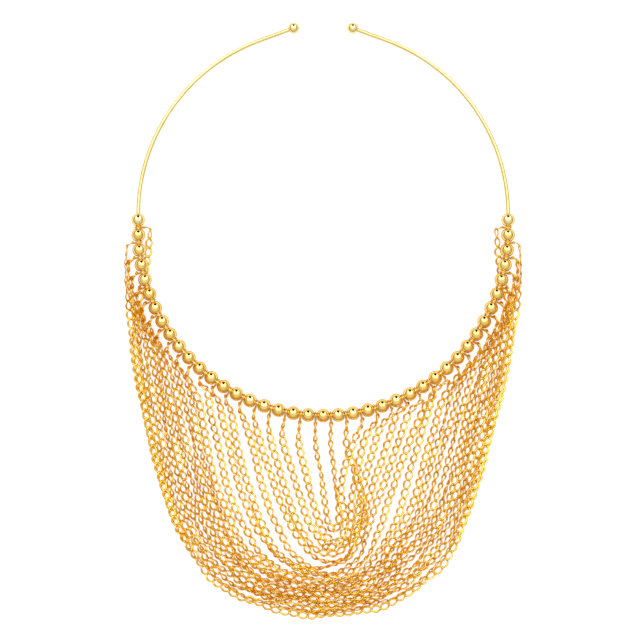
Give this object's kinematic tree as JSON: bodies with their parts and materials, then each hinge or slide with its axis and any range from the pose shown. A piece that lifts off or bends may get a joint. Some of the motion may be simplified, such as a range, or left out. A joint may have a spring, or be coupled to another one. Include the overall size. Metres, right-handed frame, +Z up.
{
  "type": "bib necklace",
  "caption": "Stiff open wire collar with round metal beads and nested curb chains that hang between them as a bib.",
  "frame": {"origin": "centre of the underside of the overall box, on the surface that the necklace lies on", "axes": "+Z up from the surface, +Y towards the open back of the collar, +X to the right seen from above"},
  "size_m": [0.1442, 0.216, 0.01],
  "materials": {
    "gold_wire": "polished gold plate",
    "gold_bead": "mirror polished gold plate",
    "gold_chain": "polished gold plate"
  },
  "bodies": {
    "root": {"collar": "gold_wire", "bead_02": "gold_bead", "bead_03": "gold_bead", "bead_04": "gold_bead", "bead_05": "gold_bead", "bead_06": "gold_bead", "bead_07": "gold_bead", "bead_08": "gold_bead", "bead_09": "gold_bead", "bead_10": "gold_bead", "bead_11": "gold_bead", "bead_12": "gold_bead", "bead_13": "gold_bead", "bead_14": "gold_bead", "bead_15": "gold_bead", "bead_16": "gold_bead", "bead_17": "gold_bead", "bead_18": "gold_bead", "bead_19": "gold_bead", "bead_20": "gold_bead", "bead_21": "gold_bead", "bead_22": "gold_bead", "bead_23": "gold_bead", "bead_24": "gold_bead", "bead_25": "gold_bead", "bead_26": "gold_bead", "bead_27": "gold_bead", "bead_28": "gold_bead", "bead_29": "gold_bead", "bead_30": "gold_bead", "bead_31": "gold_bead", "bead_32": "gold_bead", "bead_33": "gold_bead", "bead_34": "gold_bead", "bead_35": "gold_bead", "bead_36": "gold_bead", "bead_37": "gold_bead", "bead_38": "gold_bead", "bead_39": "gold_bead", "bead_40": "gold_bead", "chain_01": "gold_chain", "chain_02": "gold_chain", "chain_03": "gold_chain", "chain_04": "gold_chain", "chain_05": "gold_chain", "chain_06": "gold_chain", "chain_07": "gold_chain", "chain_08": "gold_chain", "chain_09": "gold_chain", "chain_10": "gold_chain", "chain_11": "gold_chain", "chain_12": "gold_chain", "chain_13": "gold_chain", "chain_14": "gold_chain", "chain_15": "gold_chain", "chain_16": "gold_chain", "chain_17": "gold_chain", "chain_18": "gold_chain", "chain_19": "gold_chain", "chain_20": "gold_chain"}
  },
  "joints": []
}
